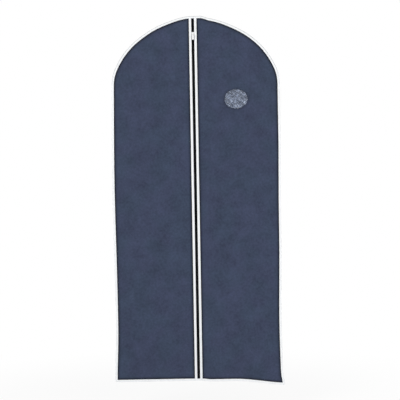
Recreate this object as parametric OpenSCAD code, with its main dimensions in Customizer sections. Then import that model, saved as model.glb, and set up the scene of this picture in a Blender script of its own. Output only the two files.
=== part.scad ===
// Hanging garment bag: two front panels closed by a full-length zip, a fuller back
// panel, folded tape round every edge, a round see-through window and an opening in
// the crown for the hook of a clothes hanger.
//
// Pieces are drawn flat, as a pattern cutter would: x across, y up from the crown, and
// a third number for the depth towards the front. The seam between the front and the
// back panels is at depth 0. upright() then stands the pattern up in the part's frame.

/* [Bag] */
// Width over the edge tape
bag_w = 600; // [480:10:700]
// Height from the crown to the hem, over the edge tape
bag_h = 1310; // [900:10:1600]
// How much longer the crown's radius is than half the width
crown_ease = 15; // [5:1:40]
// Radius of the shoulder between the crown and the side
shoulder_r = 150; // [80:5:200]
// Radius of the corners at the hem
hem_corner_r = 6; // [3:1:15]
// Depth of the bag behind its seam
back_fullness = 30; // [15:1:60]
// Distance in which the back panel rises most of the way
back_ease = 28; // [20:1:45]
// Distance from the edge tape to the flat middle of the back panel
back_run = 92; // [70:1:130]

/* [Fabric] */
// Thickness of the panels
panel_t = 0.6; // [0.4:0.1:1.2]
// Thickness of the folded tape
tape_fold_t = 0.5; // [0.3:0.1:0.9]
// Width of the folded tape round the outside
edge_tape_w = 8; // [6:0.5:14]
// Width of the folded tape beside the zip
zip_tape_fold_w = 8.5; // [6:0.5:14]

/* [Hook opening] */
// Width of the opening in the crown
hook_w = 50; // [40:1:80]
// Gap between front and back in the middle of the opening
hook_gap = 14; // [11:0.5:20]

/* [Window] */
// Diameter of the hole in the right front panel
window_d = 76; // [40:1:110]
// Distance from the zip to the middle of the window
window_x = 151; // [100:1:180]
// Distance from the crown to the middle of the window
window_drop = 300; // [260:1:500]
// Thickness of the clear film
film_t = 0.3; // [0.15:0.05:0.6]
// How far the film reaches under the panel round the hole
film_lap = 7; // [4:0.5:15]

/* [Zip] */
// Clear width between the two folded tapes
zip_gap = 10; // [9.5:0.5:14]
// Width of each woven zip tape
zip_tape_w = 15; // [11:0.5:20]
// Thickness of the woven zip tape
zip_tape_t = 0.6; // [0.4:0.1:1]
// Slit between the two zip tapes
zip_slit = 2.4; // [2:0.1:3]
// Width of one half of the chain, from the middle of the zip to its outer edge
coil_w = 2.2; // [2:0.1:2.6]
// Thickness of the chain
coil_t = 2.4; // [2:0.1:3]
// Distance from one tooth of the chain to the next on the same side
tooth_pitch = 1.6; // [1.4:0.1:2.4]
// How far the tip of a tooth reaches past the middle of the zip
tooth_lap = 0.45; // [0.2:0.05:0.6]
// Distance from the crown to the top of the slider when the zip is closed
slider_drop = 58; // [40:1:120]
// Distance from the hem tape to the bottom stop
bottom_stop_rise = 12; // [6:1:40]
// Length of the metal stops along the zip
stop_len = 4; // [3:0.5:6]
// Thickness of the metal stops
stop_t = 0.5; // [0.4:0.1:0.8]

/* [Slider] */
// Length of the slider
slider_len = 13; // [11:0.5:16]
// Width of the slider across its shoulders
slider_w = 9.4; // [9.2:0.1:9.6]
// Width of the slider at its foot
slider_foot_w = 7.6; // [7.2:0.1:8.4]
// Thickness of the slider's plates
plate_t = 1.1; // [0.8:0.1:1.5]
// Width of the wedge that parts the chain
wedge_w = 1.6; // [1.2:0.1:1.8]
// Thickness of the bridge that holds the pull tab
bridge_t = 1; // [0.8:0.1:1.4]
// Width of the bridge
bridge_w = 1.8; // [1.4:0.1:2.2]
// Length of the bridge
bridge_len = 9; // [8:0.5:10]
// Diameter of the pull tab's bar inside the bridge
pull_bar_d = 1.3; // [1:0.1:1.6]
// Length of the pull tab below its bar
pull_len = 23; // [16:0.5:40]
// Width of the pull tab
pull_w = 8; // [6.5:0.5:9]
// Thickness of the pull tab
pull_t = 1.2; // [0.8:0.1:1.3]

/* [Fits] */
// Clearance between pieces that move past each other
run_gap = 0.25; // [0.15:0.05:0.4]
// Gap between the ends of the zip and the edge tape
zip_end_gap = 1.5; // [1:0.1:3]
// Gap between the curved fold at the hook opening and the back panel
fold_gap = 0.05; // [0.02:0.01:0.1]
// Gap across the zip between the teeth of the two halves of the chain
chain_gap = 0.1; // [0.06:0.02:0.3]

/* [Hidden] */
$fn = 48;

navy = [0.25, 0.28, 0.36];
white = [0.95, 0.95, 0.96];
black = [0.05, 0.05, 0.06];
clear = [0.8, 0.84, 0.9, 0.5];

// Outline of the bag: a crown arc, two shoulder arcs, straight sides and a straight hem
half_w = bag_w / 2;
crown_r = half_w + crown_ease;
crown_c = [0, -crown_r];
shoulder_x = half_w - shoulder_r;
shoulder_rise = sqrt(pow(crown_r - shoulder_r, 2) - pow(shoulder_x, 2));
shoulder_c = [shoulder_x, shoulder_rise - crown_r];
join_a = atan2(shoulder_x, shoulder_rise);
hook_a = asin(hook_w / 2 / crown_r);
hook_steps = 7;
crown_steps = 12;
shoulder_steps = 5;
hem_steps = 3;

// Depths of the layers, from the seam towards the front
fold_front = panel_t + tape_fold_t;
fold_back = -fold_front;
zip_tape_front = -tape_fold_t;
zip_tape_back = zip_tape_front - zip_tape_t;
coil_front = zip_tape_front + coil_t;
hook_fold_stop = 6;
hook_fold_reach = hook_w / 2 - hook_fold_stop;
hook_fold_steps = hook_steps - 2;

// Places along the zip, measured up from the crown
zip_end = edge_tape_w + zip_end_gap;
slider_top = -slider_drop;
slider_foot = slider_top - slider_len;
coil_rise = 2;
coil_top = slider_top + coil_rise;
bottom_stop_y = -bag_h + zip_end + bottom_stop_rise;
coil_bottom = bottom_stop_y + stop_len;
tooth_root = tooth_lap + chain_gap;
first_tooth = [0.75 * tooth_pitch, 0.25 * tooth_pitch];
tooth_count = floor((coil_top - coil_bottom - first_tooth[0]) / tooth_pitch);
stop_web = 0.7;
stop_reach = 2.6;

// Slider: the channel that the chain runs in, and the wedge between its two halves
coil_part = wedge_w / 2 + tooth_lap + run_gap;
part_top = slider_top - 4;
part_foot = slider_foot + 2;
channel_w = 2 * (coil_part + coil_w + run_gap);
channel_foot_w = 2 * (coil_w + run_gap);
channel_front = coil_front + run_gap;
plate_front = channel_front + plate_t;
lip_back = zip_tape_front + run_gap;
plate_back = zip_tape_back - run_gap;
wedge_top = slider_top - 0.6;
wedge_full = slider_top - 3.5;
wedge_tip = slider_top - 7.5;
shoulder_round = 1.6;
foot_round = 1.2;

// Pull tab: its bar lies in the bridge's window, and its eye clears the bridge's foot
bar_depth = plate_front + run_gap / 2 + pull_bar_d / 2;
bar_drop = 4.2;
bar_y = slider_top - bar_drop;
bridge_drop = 2;
bridge_top = slider_top - bridge_drop;
bridge_front = bar_depth + pull_bar_d / 2 + run_gap + bridge_t;
eye_w = bridge_w + 4 * run_gap;
eye_len = bar_y - (bridge_top - bridge_len) + 2 * run_gap;
bridge_leg = 1.2;
bridge_round = 1.4;
arm_w = 1.5;
pull_round = 1.8;
pull_rim = 1.2;
pull_recess = 0.25;

// Back panel: distances from the outer edge at which its rings lie
back_rings = [
    tape_fold_t, edge_tape_w,
    for (share = [0.02, 0.06, 0.14, 0.3, 0.55, 1]) edge_tape_w + share * back_run
];
joint_lap = 0.3;
cut_past = 1;
far = 2 * bag_h;

function around(centre, r, a) = centre + r * [sin(a), cos(a)];

// Right half of the outline, set in by a distance, from the crown to the hem
function right_side(inset) = let (
    hem_c = [half_w - inset - hem_corner_r, -bag_h + inset + hem_corner_r]
) concat(
    [for (k = [0:hook_steps]) around(crown_c, crown_r - inset, hook_a * k / hook_steps)],
    [for (k = [1:crown_steps])
        around(crown_c, crown_r - inset, hook_a + (join_a - hook_a) * k / crown_steps)],
    [for (k = [1:shoulder_steps])
        around(shoulder_c, shoulder_r - inset, join_a + (90 - join_a) * k / shoulder_steps)],
    [for (k = [0:hem_steps]) around(hem_c, hem_corner_r, 90 + 90 * k / hem_steps)]
);

// The whole outline, clockwise from the crown
function outline(inset) = let (right = right_side(inset)) concat(
    right,
    [for (k = [len(right) - 1:-1:1]) [-right[k].x, right[k].y]]
);

// How far the back panel stands off the front at the hook opening
function hook_opening(x) =
    abs(x) < hook_w / 2 ? hook_gap * (1 + cos(360 * x / hook_w)) / 2 : 0;

// Depth of the back panel's inner face at a distance from the outer edge
function back_depth(inset, x) = let (
    run = max(0, inset - edge_tape_w),
    rise = (1 - exp(-run / back_ease)) / (1 - exp(-back_run / back_ease)),
    fade = pow(1 - run / back_run, 2)
) -back_fullness * rise - hook_opening(x) * fade;

// A point beside the hook opening, at a depth from the back panel's inner face
function on_back(p, depth) = [p.x, p.y, depth - hook_opening(p.x)];

function back_ring(inset, depth) =
    [for (p = outline(inset)) [p.x, p.y, back_depth(inset, p.x) + depth]];

// Sideways shift of a chain half as it passes the wedge in the slider
function coil_shift(y) =
    coil_part * min(1, max(0, (y - part_foot) / (part_top - part_foot)));

// Closed skin through rings of points that all have the same count. caps lists the faces
// that close its two ends.
module loft(rings, caps) {
    count = len(rings[0]);
    last = len(rings) - 1;
    sides = [
        for (r = [0:last - 1], k = [0:count - 1]) let (
            a = r * count + k,
            b = r * count + (k + 1) % count
        ) each [[a, b, b + count], [a, b + count, a + count]]
    ];
    polyhedron(
        points = [for (ring = rings) each ring],
        faces = concat(
            [for (cap = caps) [for (k = [len(cap) - 1:-1:0]) cap[k]]],
            sides,
            [for (cap = caps) [for (k = cap) last * count + k]]
        ),
        convexity = 6
    );
}

function whole_cap(ring) = [[for (k = [0:len(ring) - 1]) k]];

module upright() {
    translate([0, -hook_gap / 2, 0]) rotate([90, 0, 0]) children();
}

// A flat piece between two depths
module layer(from, to) {
    upright() translate([0, 0, from]) linear_extrude(to - from, convexity = 6) children();
}

module bag_shape(inset) {
    polygon(outline(inset));
}

// Everything on one side of the zip, from a distance to a distance
module strip(side, from, to) {
    low = min(side * from, side * to);
    translate([low, -far]) square([abs(to - from), 2 * far]);
}

// The part of the crown that the hook opening takes up
module hook_zone(reach) {
    translate([-reach, -crown_r]) square([2 * reach, 2 * crown_r]);
}

module back_panel() {
    outer = [for (k = [len(back_rings) - 1:-1:0]) back_ring(back_rings[k], -panel_t)];
    inner = [for (inset = back_rings) back_ring(inset, 0)];
    color(navy) upright() loft(concat(outer, inner), whole_cap(inner[0]));
}

module front_panel(side) {
    layer(0, panel_t) intersection() {
        bag_shape(tape_fold_t);
        strip(side, zip_gap / 2 + tape_fold_t, half_w);
    }
}

module front_panel_left() {
    color(navy) front_panel(-1);
}

module front_panel_right() {
    color(navy) difference() {
        front_panel(1);
        layer(-panel_t, 2 * panel_t) translate([window_x, -window_drop]) circle(d = window_d);
    }
}

module window_film() {
    color(clear) layer(-film_t, 0)
        translate([window_x, -window_drop]) circle(d = window_d + 2 * film_lap);
}

// Tape folded over both panels, all the way round from one side of the hook opening
// to the other
module edge_tape() {
    color(white) difference() {
        layer(fold_back, fold_front) difference() {
            bag_shape(0);
            bag_shape(edge_tape_w);
            hook_zone(hook_w / 2);
        }
        layer(-panel_t, panel_t) bag_shape(tape_fold_t);
    }
}

// Tape folded over the front edge of the hook opening
module hook_tape_front() {
    color(white) {
        difference() {
            layer(0, fold_front) intersection() {
                difference() {
                    bag_shape(0);
                    bag_shape(edge_tape_w);
                }
                hook_zone(hook_w / 2);
            }
            layer(-panel_t, panel_t) bag_shape(tape_fold_t);
        }
        layer(-tape_fold_t, 0) intersection() {
            difference() {
                bag_shape(0);
                bag_shape(edge_tape_w);
            }
            hook_zone(hook_fold_reach);
        }
    }
}

// Tape folded over the back edge of the hook opening, which stands away from the front
module hook_tape_back() {
    rings = [
        for (k = [-hook_fold_steps:hook_fold_steps]) let (
            a = hook_a * k / hook_steps,
            lip = around(crown_c, crown_r, a),
            core = around(crown_c, crown_r - tape_fold_t + fold_gap, a),
            hem = around(crown_c, crown_r - edge_tape_w, a),
            inside = fold_gap,
            outside = -panel_t - fold_gap
        ) [
            on_back(hem, inside + tape_fold_t), on_back(lip, inside + tape_fold_t),
            on_back(lip, outside - tape_fold_t), on_back(hem, outside - tape_fold_t),
            on_back(hem, outside), on_back(core, outside),
            on_back(core, inside), on_back(hem, inside)
        ]
    ];
    color(white) upright() loft(rings, [[0, 1, 6, 7], [1, 2, 5, 6], [2, 3, 4, 5]]);
}

// Tape folded over the edge of a front panel beside the zip
module zip_edging(side) {
    color(white) difference() {
        layer(-tape_fold_t, fold_front) intersection() {
            bag_shape(zip_end);
            strip(side, zip_gap / 2, zip_gap / 2 + zip_tape_fold_w);
        }
        layer(0, panel_t) strip(side, zip_gap / 2 + tape_fold_t, half_w);
    }
}

module zip_edging_left() {
    zip_edging(-1);
}

module zip_edging_right() {
    zip_edging(1);
}

module zip_tape(side) {
    color(black) layer(zip_tape_back, zip_tape_front) intersection() {
        bag_shape(zip_end);
        strip(side, zip_slit / 2, zip_slit / 2 + zip_tape_w);
    }
}

module zip_tape_left() {
    zip_tape(-1);
}

module zip_tape_right() {
    zip_tape(1);
}

// One half of the chain: a strip with a row of teeth. Below the slider each tooth lies
// between two of the other half, and inside the slider the wedge parts the two rows.
module zip_coil(side) {
    start = coil_bottom + first_tooth[side > 0 ? 1 : 0];
    teeth = [
        for (k = [0:2 * tooth_count])
            [k % 2 == 0 ? tooth_root : -tooth_lap, start + k * tooth_pitch / 2]
    ];
    back = [
        [tooth_root, coil_top], [coil_w, coil_top], [coil_w, part_top],
        [coil_w, part_foot], [coil_w, coil_bottom], [tooth_root, coil_bottom]
    ];
    color(black) layer(zip_tape_front, coil_front)
        polygon([for (p = concat(teeth, back)) [side * (p.x + coil_shift(p.y)), p.y]]);
}

module zip_coil_left() {
    zip_coil(-1);
}

module zip_coil_right() {
    zip_coil(1);
}

// Metal clip folded round the edge of one zip tape, above the slider
module top_stop(side) {
    color(black) difference() {
        layer(zip_tape_back - stop_t, coil_front) intersection() {
            translate([-far, coil_top]) square([2 * far, stop_len]);
            strip(side, zip_slit / 2 - stop_web, zip_slit / 2 + stop_reach);
        }
        layer(zip_tape_back, zip_tape_front) strip(side, zip_slit / 2, half_w);
    }
}

module top_stop_left() {
    top_stop(-1);
}

module top_stop_right() {
    top_stop(1);
}

// Metal clip that holds both zip tapes together at the hem
module bottom_stop() {
    reach = zip_slit / 2 + stop_reach;
    color(black) difference() {
        layer(zip_tape_back - stop_t, coil_front)
            translate([-reach, bottom_stop_y]) square([2 * reach, stop_len]);
        layer(zip_tape_back, zip_tape_front) {
            strip(-1, zip_slit / 2, half_w);
            strip(1, zip_slit / 2, half_w);
        }
    }
}

module slider_shape() {
    hull() for (side = [-1, 1]) {
        translate([side * (slider_w / 2 - shoulder_round), slider_top - shoulder_round])
            circle(shoulder_round);
        translate([side * (slider_foot_w / 2 - foot_round), slider_foot + foot_round])
            circle(foot_round);
    }
}

// Way of the two chain halves through the slider: apart at its top, together at its foot
module channel_shape() {
    polygon([
        for (side = [1, -1]) each let (
            wide = side * channel_w / 2,
            narrow = side * channel_foot_w / 2,
            run = [
                [wide, slider_top + cut_past], [wide, part_top],
                [narrow, part_foot], [narrow, slider_foot - cut_past]
            ]
        ) side > 0 ? run : [run[3], run[2], run[1], run[0]]
    ]);
}

module wedge_shape() {
    polygon([
        [-wedge_w / 2, wedge_top], [wedge_w / 2, wedge_top],
        [wedge_w / 2, wedge_full], [0, wedge_tip], [-wedge_w / 2, wedge_full]
    ]);
}

// Loop along the slider that the pull tab's bar lies in
module bridge() {
    bridge_foot = bridge_top - bridge_len;
    upright() translate([-bridge_w / 2, 0, 0]) rotate([90, 0, 90]) linear_extrude(bridge_w)
        difference() {
            hull() {
                for (y = [bridge_foot + bridge_round, bridge_top - bridge_round])
                    translate([y, bridge_front - bridge_round]) circle(bridge_round);
                translate([bridge_foot, plate_front - joint_lap])
                    square([bridge_len, joint_lap]);
            }
            translate([bridge_foot + bridge_leg, plate_front])
                square([bridge_len - 2 * bridge_leg, bridge_front - bridge_t - plate_front]);
        }
}

module slider_body() {
    color(white) {
        difference() {
            layer(lip_back, plate_front) slider_shape();
            layer(lip_back - cut_past, channel_front) channel_shape();
        }
        layer(plate_back - plate_t, plate_back) slider_shape();
        layer(plate_back - joint_lap, channel_front + joint_lap) wedge_shape();
        bridge();
    }
}

module pull_shape() {
    bar_len = eye_w + 2 * arm_w;
    difference() {
        hull() {
            translate([-bar_len / 2, bar_y - pull_round]) square([bar_len, pull_round]);
            for (side = [-1, 1], y = [bar_y - eye_len - pull_round, bar_y - pull_len + pull_round])
                translate([side * (pull_w / 2 - pull_round), y]) circle(pull_round);
        }
        translate([-eye_w / 2, bar_y - eye_len]) square([eye_w, eye_len + cut_past]);
    }
}

module pull_panel_shape() {
    low = bar_y - pull_len + pull_rim;
    high = bar_y - eye_len - 2 * pull_rim;
    translate([-pull_w / 2 + pull_rim, low]) square([pull_w - 2 * pull_rim, high - low]);
}

// Pull tab: a plate with an eye, a round bar across the eye's top and a sunk front
module pull_tab() {
    bar_len = eye_w + 2 * arm_w;
    front = bar_depth + pull_t / 2;
    color(white) {
        difference() {
            layer(bar_depth - pull_t / 2, front) pull_shape();
            layer(front - pull_recess, front + cut_past) pull_panel_shape();
        }
        upright() translate([-bar_len / 2, bar_y, bar_depth])
            rotate([0, 90, 0]) cylinder(d = pull_bar_d, h = bar_len);
    }
}

back_panel();
front_panel_left();
front_panel_right();
edge_tape();
hook_tape_front();
hook_tape_back();
zip_edging_left();
zip_edging_right();
zip_tape_left();
zip_tape_right();
zip_coil_left();
zip_coil_right();
top_stop_left();
top_stop_right();
bottom_stop();
window_film();
slider_body();
pull_tab();
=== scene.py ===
import math

import bpy
import numpy as np
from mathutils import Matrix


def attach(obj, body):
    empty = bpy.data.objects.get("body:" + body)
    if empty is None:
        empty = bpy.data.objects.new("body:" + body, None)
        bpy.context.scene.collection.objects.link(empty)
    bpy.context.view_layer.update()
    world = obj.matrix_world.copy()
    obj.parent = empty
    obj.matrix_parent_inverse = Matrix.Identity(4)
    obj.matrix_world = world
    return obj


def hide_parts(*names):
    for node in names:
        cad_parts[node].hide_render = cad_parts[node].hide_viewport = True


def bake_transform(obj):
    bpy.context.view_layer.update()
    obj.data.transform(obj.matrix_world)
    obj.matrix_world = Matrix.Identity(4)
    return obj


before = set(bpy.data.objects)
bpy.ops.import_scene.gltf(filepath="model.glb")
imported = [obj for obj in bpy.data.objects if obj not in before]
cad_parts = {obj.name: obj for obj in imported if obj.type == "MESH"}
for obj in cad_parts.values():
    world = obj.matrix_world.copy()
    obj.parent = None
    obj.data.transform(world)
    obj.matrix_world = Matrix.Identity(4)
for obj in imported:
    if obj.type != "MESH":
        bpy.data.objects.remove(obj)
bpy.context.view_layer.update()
scene = bpy.context.scene
scene.view_settings.view_transform = "Standard"
print("bag: frame loaded,", len(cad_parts), "nodes")

# Camera: straight on at the front, with the small tilt that the bag has in the picture
shot = {"lens": 85, "sensor": 36, "across": 0.0155, "away": 3.40, "height": -0.661, "roll": 1.0}

bpy.ops.object.select_all(action="DESELECT")
bpy.ops.object.camera_add(
    location=(shot["across"], -shot["away"], shot["height"]),
    rotation=(math.radians(90), math.radians(shot["roll"]), 0),
)
scene.camera = bpy.context.object
scene.camera.data.lens = shot["lens"]
scene.camera.data.sensor_width = shot["sensor"]
print("bag: camera set")

# The cut of the bag, the same sizes as its solids have, in metres
cut = {
    "halfWidth": 0.300, "height": 1.310, "crown": 0.315, "shoulder": 0.150, "hemCorner": 0.006,
    "seamY": -0.007, "tapeWidth": 0.008, "panelThick": 0.0006, "tapeThick": 0.0005,
    "zipEdge": 0.005, "edgingWidth": 0.0085, "zipEnd": 0.003, "hookReach": 0.025, "hookGap": 0.014,
}
shoulderX = cut["halfWidth"] - cut["shoulder"]
shoulderRise = math.sqrt((cut["crown"] - cut["shoulder"]) ** 2 - shoulderX ** 2)
shoulderZ = shoulderRise - cut["crown"]
joinAngle = math.atan2(shoulderX, shoulderRise)
sides = ((-1, "Left"), (1, "Right"))


def smooth(t):
    t = np.clip(t, 0, 1)
    return t * t * (3 - 2 * t)


def ramp(value, start, reach):
    # 0 up to start, 1 from a reach further on, eased between
    return smooth((value - start) / reach)


def bell(value, middle, width):
    return np.exp(-(((value - middle) / width) ** 2))


def wave(turns, shift=0.0):
    return np.sin(2 * np.pi * turns + shift)


def crownHeight(x, inset):
    # top edge of the outline at a distance from the zip
    a = np.minimum(np.abs(x), cut["halfWidth"] - inset)
    big, small = cut["crown"] - inset, cut["shoulder"] - inset
    onCrown = np.sqrt(np.maximum(big ** 2 - a ** 2, 0)) - cut["crown"]
    onShoulder = np.sqrt(np.maximum(small ** 2 - (a - shoulderX) ** 2, 0)) + shoulderZ
    return np.where(a < big * math.sin(joinAngle), onCrown, onShoulder)


def sideReach(z, inset):
    # half width of the outline at a height
    big, small = cut["crown"] - inset, cut["shoulder"] - inset
    onCrown = np.sqrt(np.maximum(big ** 2 - (z + cut["crown"]) ** 2, 0))
    onShoulder = np.sqrt(np.maximum(small ** 2 - np.maximum(z - shoulderZ, 0) ** 2, 0)) + shoulderX
    return np.where(z > big * math.cos(joinAngle) - cut["crown"], onCrown, onShoulder)


def seamDistance(x, z):
    # distance in from the outer edge
    a, up = np.abs(x), z + cut["crown"]
    onCrown = cut["crown"] - np.hypot(a, up)
    onShoulder = cut["shoulder"] - np.hypot(a - shoulderX, z - shoulderZ)
    arch = np.where(np.arctan2(a, up) < joinAngle, onCrown, onShoulder)
    top = np.where(z > shoulderZ, arch, cut["halfWidth"] - a)
    return np.minimum(top, z + cut["height"])


def tapeGaps(x, z):
    # distances over the cloth from the edge tape and from the zip's edging
    return seamDistance(x, z) - cut["tapeWidth"], np.abs(x) - cut["zipEdge"] - cut["edgingWidth"]


# How the hanging cloth leaves its flat cut: both sides lean right of the zip, the left of the crown
# droops, and the hem drops towards the right corner
sagging = {
    "lean": 0.0062, "waistLeft": 0.0050, "hemLeft": 0.0040, "flareLeft": 0.0016, "flareRight": 0.0045,
    "bowRight": 0.0050, "shoulderOut": 0.0030, "crownLeft": 0.0068, "crownRight": 0.0030, "hookRight": 0.0016,
    "archRight": 0.0036, "hemRight": 0.0034, "cornerRight": 0.0170, "cornerPower": 1.1,
}
# Where each of these acts: start and reach of a ramp, or middle and width of a bell
sagPlace = {
    "side": (0.02, 0.24), "high": (-0.45, 0.40), "low": (1.16, 0.15), "tip": (1.265, 0.04),
    "waist": (-0.58, 0.30), "nearHem": (1.10, 0.20), "bow": (-1.10, 0.18), "shoulder": (-0.72, 0.30),
    "leftIn": (0.005, 0.105), "leftOut": (-0.275, 0.11), "rightIn": (0.034, 0.026), "rightOut": (-0.19, 0.08),
    "hook": (0.029, 0.011), "arch": (0.172, 0.065), "hem": (0.010, 0.036), "corner": (0.12, 0.19),
    "hemPull": (0.85, 0.46),
}


def sag(x, z):
    right, left = ramp(x, *sagPlace["side"]), ramp(-x, *sagPlace["side"])
    waist = sagging["waistLeft"] * bell(z, *sagPlace["waist"])
    waist = waist + sagging["hemLeft"] * ramp(-z, *sagPlace["nearHem"])
    dx = sagging["lean"] * right + (sagging["lean"] - waist) * left
    bow = sagging["bowRight"] * bell(z, *sagPlace["bow"])
    dx = dx + right * (sagging["flareRight"] * ramp(-z, *sagPlace["tip"]) - bow)
    dx = dx + right * sagging["shoulderOut"] * ramp(z, *sagPlace["shoulder"])
    dx = dx - left * sagging["flareLeft"] * ramp(-z, *sagPlace["low"])
    crown = ramp(-x, *sagPlace["leftIn"]) * ramp(x, *sagPlace["leftOut"]) * sagging["crownLeft"]
    crown = crown + ramp(x, *sagPlace["rightIn"]) * ramp(-x, *sagPlace["rightOut"]) * sagging["crownRight"]
    crown = crown - sagging["hookRight"] * bell(x, *sagPlace["hook"])
    crown = crown + sagging["archRight"] * bell(x, *sagPlace["arch"])
    hem = sagging["hemRight"] * ramp(x, *sagPlace["hem"])
    hem = hem + sagging["cornerRight"] * ramp(x, *sagPlace["corner"]) ** sagging["cornerPower"]
    dz = -crown * ramp(z, *sagPlace["high"]) - hem * ramp(-z, *sagPlace["hemPull"])
    return x + dx, z + dz


def unsag(x, z, rounds=5):
    # back from the hanging cloth to the flat cut
    fx, fz = x, z
    for _ in range(rounds):
        sx, sz = sag(fx, fz)
        fx, fz = fx + x - sx, fz + z - sz
    return fx, fz


def place(x, depth, z):
    # pattern coordinates to the frame: depth runs towards the front from the seam
    sx, sz = sag(x, z)
    return sx, cut["seamY"] - depth, sz


def hookBump(x):
    # how far the back edge of the hook opening stands off from the front
    inside = np.abs(x) < cut["hookReach"]
    return np.where(inside, cut["hookGap"] * (1 + np.cos(np.pi * x / cut["hookReach"])) / 2, 0)


frontFolds = {
    "belly": 0.0035, "edgeFade": 0.07, "zipFade": 0.06, "sway": 0.35, "swayPitch": 1.1,
    "fold": 0.0022, "foldPitch": 0.145,
    "drape": 0.0011, "drapePitch": 0.21, "drapeOut": 0.75, "drapeDown": 0.5, "drapeFrom": (-0.75, 0.5),
    "ripple": 0.0006, "ripplePitch": 0.093, "rippleBend": 0.4, "bendRate": 21,
    "pucker": 0.0005, "puckerPitch": 0.031, "puckerSlant": 0.6, "puckerDrift": 1.7, "driftPitch": 0.13,
    "puckerStart": 0.004, "puckerReach": 0.02,
}
# Shifts of the waves, one way on the left and the other way on the right, so that the halves differ
frontShift = {"sway": 0.7, "fold": 1.3, "drape": 2.1, "ripple": 1.0}


def besideTape(gap):
    # rises from nothing at the edge of a tape and dies away over the cloth
    gap = np.maximum(gap, 0)
    return (1 - np.exp(-gap / frontFolds["puckerStart"])) * np.exp(-gap / frontFolds["puckerReach"])


def frontDepth(x, z):
    a, side = np.abs(x), np.where(x > 0, 1.0, -1.0)
    fromEdge, fromZip = tapeGaps(x, z)
    fade = ramp(fromEdge, 0, frontFolds["edgeFade"]) * ramp(fromZip, 0, frontFolds["zipFade"])
    sway = frontFolds["sway"] * wave(z / frontFolds["swayPitch"], frontShift["sway"] * side)
    folds = frontFolds["fold"] * wave(a / frontFolds["foldPitch"] + sway, frontShift["fold"] * side)
    slant = (frontFolds["drapeOut"] * a + frontFolds["drapeDown"] * z) / frontFolds["drapePitch"]
    drape = frontFolds["drape"] * wave(slant, frontShift["drape"] * side) * ramp(z, *frontFolds["drapeFrom"])
    bend = frontFolds["rippleBend"] * np.sin(frontFolds["bendRate"] * x)
    ripple = frontFolds["ripple"] * wave(z / frontFolds["ripplePitch"] + bend, frontShift["ripple"] * side)
    along = z + frontFolds["puckerSlant"] * a
    drift = frontFolds["puckerDrift"] * wave(along / frontFolds["driftPitch"])
    pucker = frontFolds["pucker"] * wave(along / frontFolds["puckerPitch"], drift)
    pucker = pucker * (besideTape(fromEdge) + besideTape(fromZip))
    return (frontFolds["belly"] + folds + drape + ripple) * fade + pucker


backFolds = {
    "depth": 0.030, "ease": 0.028, "run": 0.092, "sagMore": 0.10, "sagTop": 0.35, "sagRun": 0.9,
    "fold": 0.0058, "foldPitch": 0.137, "foldFrom": (0.22, 0.35), "edgeFade": 0.08,
    "sway": 0.3, "swayPitch": 1.2, "swayShift": 1.1,
    "stray": 0.22, "strayPitch": (0.37, 2.3), "strayShift": 0.8,
    "swell": 0.28, "swellPitch": (0.43, 1.7), "swellShift": 0.6,
    "drag": 0.0030, "dragStart": 0.10, "dragReach": 0.26, "dragRate": 11, "dragShift": 0.8,
    "hookDown": 0.3, "hookLift": 0.18, "liftFrom": (-0.06, 0.06),
}


def slantedWave(x, z, pitch, shift):
    # a wave that has one pitch across and another along
    return wave(x / pitch[0] + z / pitch[1], shift)


def backDepth(x, z):
    run = np.clip(seamDistance(x, z) - cut["tapeWidth"], 0, backFolds["run"])
    full = (1 - np.exp(-run / backFolds["ease"])) / (1 - math.exp(-backFolds["run"] / backFolds["ease"]))
    down = np.clip((-z - backFolds["sagTop"]) / backFolds["sagRun"], 0, 1)
    full = full * (1 + backFolds["sagMore"] * np.sin(np.pi * down))
    # upright folds that sway, stray and swell on their way down
    sway = backFolds["sway"] * wave(z / backFolds["swayPitch"], backFolds["swayShift"])
    sway = sway + backFolds["stray"] * slantedWave(x, z, backFolds["strayPitch"], backFolds["strayShift"])
    swell = slantedWave(x, z, backFolds["swellPitch"], backFolds["swellShift"])
    swell = 1 - backFolds["swell"] + backFolds["swell"] * swell
    folds = backFolds["fold"] * swell * wave(x / backFolds["foldPitch"] + sway)
    folds = folds * ramp(-z, *backFolds["foldFrom"])
    # folds that run from the hook to the shoulders
    away = np.hypot(x, z)
    fan = np.sin(backFolds["dragRate"] * np.arctan2(x, -z) + backFolds["dragShift"])
    fan = fan * ramp(away, 0, backFolds["dragStart"]) * np.exp(-away / backFolds["dragReach"])
    folds = (folds + backFolds["drag"] * fan) * ramp(run, 0, backFolds["edgeFade"])
    gape = hookBump(x) * (1 - run / backFolds["run"]) ** 2
    gape = np.where(z > -backFolds["hookDown"], gape, 0)
    return folds - backFolds["depth"] * full - gape


def backLift(x, z):
    # the hanger's hook pulls the back edge of the opening up a little
    return backFolds["hookLift"] * hookBump(x) * ramp(z, *backFolds["liftFrom"])


# Mesh tools: points within the merging distance, in metres, become one, and edges that turn by less than
# the smoothing angle, in degrees, look soft
meshing = {"merge": 0.00001, "smooth": 40}


def coordinates(piece):
    flat = np.empty(len(piece.data.vertices) * 3)
    piece.data.vertices.foreach_get("co", flat)
    return flat.reshape(-1, 3)


def setCoordinates(piece, points):
    piece.data.vertices.foreach_set("co", points.ravel())
    piece.data.update()


def setValues(piece, name, values):
    # one number for each point, which a material can read by its name
    layer = piece.data.attributes.new(name, "FLOAT", "POINT")
    layer.data.foreach_set("value", values.astype(np.float32))


def useOnly(piece):
    bpy.ops.object.select_all(action="DESELECT")
    piece.select_set(True)
    bpy.context.view_layer.objects.active = piece


def finishWith(piece, kind, **settings):
    # one modifier, set and applied
    useOnly(piece)
    modifier = piece.modifiers.new(kind.title(), kind)
    for key, value in settings.items():
        setattr(modifier, key, value)
    bpy.ops.object.modifier_apply(modifier=modifier.name)


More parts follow.
